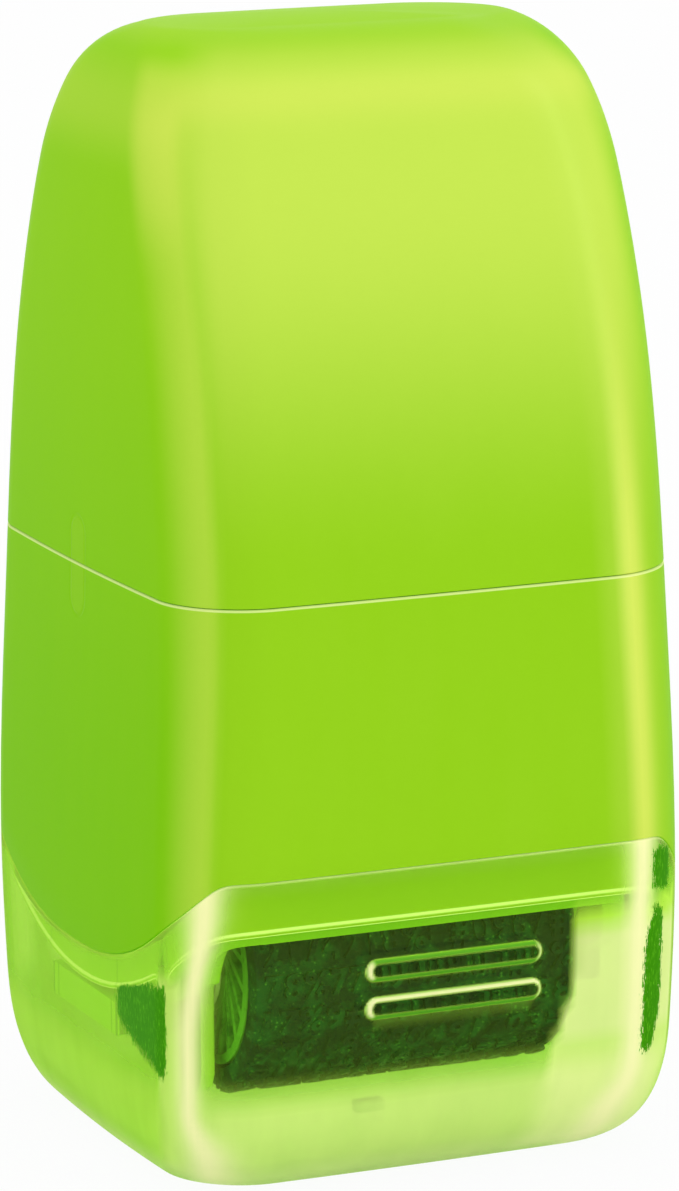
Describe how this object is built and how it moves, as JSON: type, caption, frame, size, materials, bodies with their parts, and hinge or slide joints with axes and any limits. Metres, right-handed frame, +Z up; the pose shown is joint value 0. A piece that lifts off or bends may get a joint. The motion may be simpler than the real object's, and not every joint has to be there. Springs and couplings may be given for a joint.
{
  "type": "privacy roller stamp",
  "caption": "Tall rounded green handle with a self-inking printing drum carried in a cartridge at its foot, standing in a see-through cap with a flat base.",
  "frame": {"origin": "middle of the cap's flat underside", "axes": "+Z up through the handle, X along the printing drum, the wide front face with the cap's two ribs looks along -Y"},
  "size_m": [0.0402, 0.0416, 0.0803],
  "materials": {
    "cap_clear_green": "clear tinted gloss",
    "body_green": "soft gloss",
    "frame_green": "soft gloss",
    "wheel_green": "satin",
    "drum_dark": "satin",
    "rubber_dark": "inked rubber",
    "felt_black": "inked felt",
    "bearing_white": "satin",
    "steel": "drawn wire and ground rod"
  },
  "bodies": {
    "cap": {"cap_shell": "cap_clear_green"},
    "cartridge": {"cartridge_case": "frame_green", "cartridge_lid": "frame_green", "left_side_plate": "frame_green", "right_side_plate": "frame_green", "drum_axle": "steel", "left_drum_bush": "bearing_white", "right_drum_bush": "bearing_white", "ink_axle": "steel", "left_ink_block": "bearing_white", "right_ink_block": "bearing_white", "left_ink_spring": "steel", "right_ink_spring": "steel"},
    "housing": {"body_shell": "body_green", "handle_shell": "body_green"},
    "drum": {"drum_core": "drum_dark", "drum_sleeve": "rubber_dark", "left_end_wheel": "wheel_green", "right_end_wheel": "wheel_green"},
    "ink_roller": {"ink_core": "bearing_white", "ink_felt": "felt_black"},
    "left_tab": {"left_release_tab": "frame_green"},
    "right_tab": {"right_release_tab": "frame_green"}
  },
  "joints": [
    {"name": "stamp_lift", "type": "slide", "parent": "cap", "child": "cartridge", "axis": [0, 0, 1], "range_m": [0, 0.03]},
    {"name": "housing_lift", "type": "slide", "parent": "cartridge", "child": "housing", "axis": [0, 0, 1], "range_m": [0, 0.026]},
    {"name": "drum_spin", "type": "hinge", "parent": "cartridge", "child": "drum", "pos_m": [0, -0.0058, 0.0144], "axis": [1, 0, 0], "continuous": true},
    {"name": "ink_roller_spin", "type": "hinge", "parent": "cartridge", "child": "ink_roller", "pos_m": [0, 0.0041, 0.0262], "axis": [1, 0, 0], "continuous": true},
    {"name": "left_tab_press", "type": "hinge", "parent": "cartridge", "child": "left_tab", "pos_m": [-0.01591, 0, 0.024], "axis": [0, -1, 0], "range_deg": [0, 2.4], "stiffness_Nm_per_rad": 0.02},
    {"name": "right_tab_press", "type": "hinge", "parent": "cartridge", "child": "right_tab", "pos_m": [0.01591, 0, 0.024], "axis": [0, 1, 0], "range_deg": [0, 2.4], "stiffness_Nm_per_rad": 0.02}
  ],
  "couplings": [
    {"joint": "ink_roller_spin", "follows": "drum_spin", "ratio": -1.7452}
  ]
}
